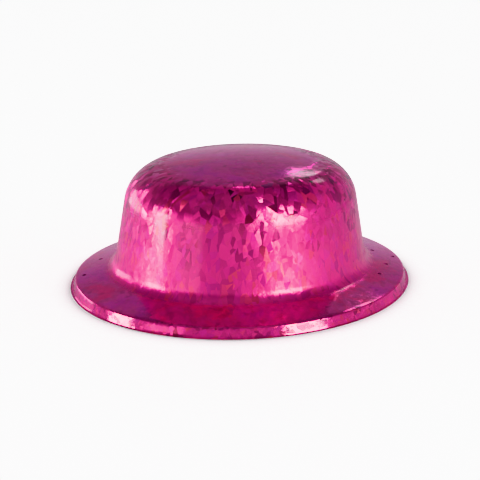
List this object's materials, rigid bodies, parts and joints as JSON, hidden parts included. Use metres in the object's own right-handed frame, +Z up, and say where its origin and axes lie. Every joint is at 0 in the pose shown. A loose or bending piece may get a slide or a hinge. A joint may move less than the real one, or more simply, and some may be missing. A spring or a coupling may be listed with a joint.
{
  "type": "party hat",
  "caption": "Low bowler-style party hat with an oval domed crown, a sloping brim with a turned-down lip, and small holes punched through the brim.",
  "frame": {"origin": "middle of the rim plane, on the surface that the hat stands on", "axes": "+Z up through the crown, -Y towards the front of the hat, +X across the brim"},
  "size_m": [0.239, 0.2772, 0.089],
  "materials": {
    "backing_plastic": "pale grey vacuum-formed plastic sheet",
    "magenta_film": "mirror-bright magenta metallised film with a shattered-glass holographic pattern"
  },
  "bodies": {
    "root": {"backing_shell": "backing_plastic", "hologram_film": "magenta_film"}
  },
  "joints": []
}
